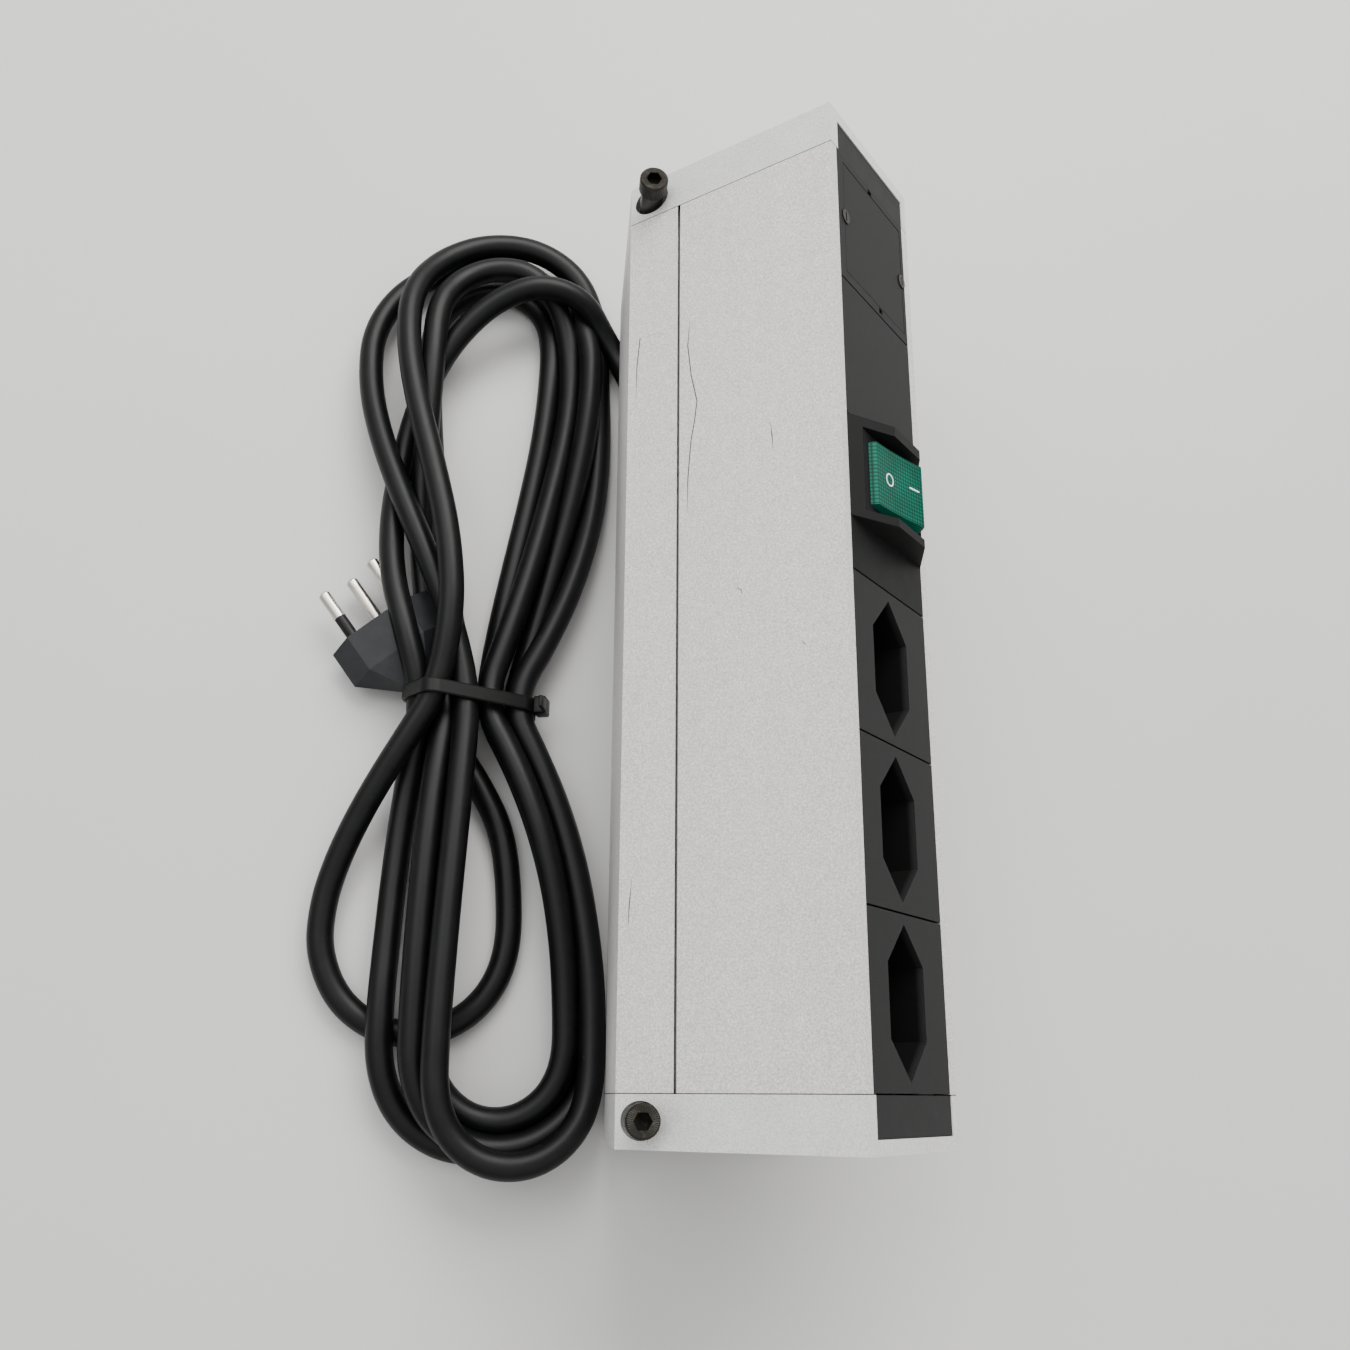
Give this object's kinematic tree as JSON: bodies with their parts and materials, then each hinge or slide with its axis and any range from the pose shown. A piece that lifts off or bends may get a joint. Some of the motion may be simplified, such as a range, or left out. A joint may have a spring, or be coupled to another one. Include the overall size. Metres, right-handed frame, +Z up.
{
  "type": "desk clamp power strip",
  "caption": "Desk-edge power strip with sloping socket face, lit rocker switch, screw-drawn jaws under the desk and a tied mains lead with a flat three-pin plug.",
  "frame": {"origin": "middle of the strip's own footprint, lead left out, at the surface that its jaws stand on", "axes": "+Y along the strip from the socket end to the accessory end, +X from the leg to the nose, +Z up"},
  "size_m": [0.1834, 0.3199, 0.1229],
  "materials": {
    "anodised_profile": "satin anodised",
    "cap_plastic": "silver grey, fine texture",
    "dark_plastic": "matte charcoal",
    "module_plastic": "fine matte charcoal",
    "switch_black": "matte black",
    "rocker_green": "translucent green",
    "lamp_glass": "clear",
    "brass": "plain",
    "screw_black": "black oxide",
    "sleeve_grey": "black oxide",
    "steel": "zinc plated",
    "jaw_metal": "black powder coat",
    "pad_rubber": "matte black",
    "cord_black": "matte black sheath",
    "plug_black": "matte dark grey",
    "pin_brass": "nickelled brass",
    "sleeve_black": "matte black",
    "tie_black": "matte",
    "block_white": "matte cream",
    "wire_brown": "brown insulation",
    "wire_blue": "blue insulation",
    "wire_green": "green and yellow insulation",
    "clip_dark": "matte dark grey"
  },
  "bodies": {
    "strip": {"rear_profile": "anodised_profile", "housing_profile": "anodised_profile", "end_cap_near": "cap_plastic", "end_cap_far": "cap_plastic", "cap_inset_near": "dark_plastic", "cap_inset_far": "dark_plastic", "cap_screws": "steel", "socket_module_1": "module_plastic", "socket_module_2": "module_plastic", "socket_module_3": "module_plastic", "busbar_live": "brass", "busbar_neutral": "brass", "busbar_earth": "brass", "switch_module": "module_plastic", "switch_shell": "switch_black", "switch_lamp": "lamp_glass", "switch_terminals": "brass", "blank_module": "module_plastic", "accessory_frame": "module_plastic", "accessory_cover": "module_plastic", "cover_clips": "clip_dark", "terminal_block": "block_white", "cord_anchor": "block_white", "wire_live": "wire_brown", "wire_neutral": "wire_blue", "wire_earth": "wire_green", "cable_gland": "cord_black", "clamp_sleeve_near": "sleeve_grey", "clamp_sleeve_far": "sleeve_grey", "cord_lead": "cord_black", "cord_hank": "cord_black", "cable_tie": "tie_black", "plug_body": "plug_black", "plug_pins": "pin_brass", "plug_earth_pin": "pin_brass", "plug_pin_sleeves": "sleeve_black"},
    "clamp_screw_near": {"clamp_screw_near": "screw_black"},
    "clamp_jaw_near": {"clamp_jaw_near": "jaw_metal", "jaw_nut_near": "steel", "jaw_pad_near": "pad_rubber"},
    "clamp_screw_far": {"clamp_screw_far": "screw_black"},
    "clamp_jaw_far": {"clamp_jaw_far": "jaw_metal", "jaw_nut_far": "steel", "jaw_pad_far": "pad_rubber"},
    "rocker": {"rocker": "rocker_green"}
  },
  "joints": [
    {"name": "screw_turn_near", "type": "hinge", "parent": "strip", "child": "clamp_screw_near", "pos_m": [-0.03695, -0.1347, 0.09], "axis": [0, 0, -1], "range_deg": [0, 21620]},
    {"name": "jaw_draw_near", "type": "slide", "parent": "strip", "child": "clamp_jaw_near", "axis": [0, 0, 1], "range_m": [0, 0.048]},
    {"name": "screw_turn_far", "type": "hinge", "parent": "strip", "child": "clamp_screw_far", "pos_m": [-0.03695, 0.1347, 0.09], "axis": [0, 0, -1], "range_deg": [0, 21620]},
    {"name": "jaw_draw_far", "type": "slide", "parent": "strip", "child": "clamp_jaw_far", "axis": [0, 0, 1], "range_m": [0, 0.048]},
    {"name": "rocker_press", "type": "hinge", "parent": "strip", "child": "rocker", "pos_m": [0.02388, 0.0285, 0.10228], "axis": [0, 1, 0], "range_deg": [0, 20.8]}
  ],
  "couplings": [
    {"joint": "screw_turn_near", "follows": "jaw_draw_near", "rad_per_m": 7854},
    {"joint": "screw_turn_far", "follows": "jaw_draw_far", "rad_per_m": 7854}
  ]
}
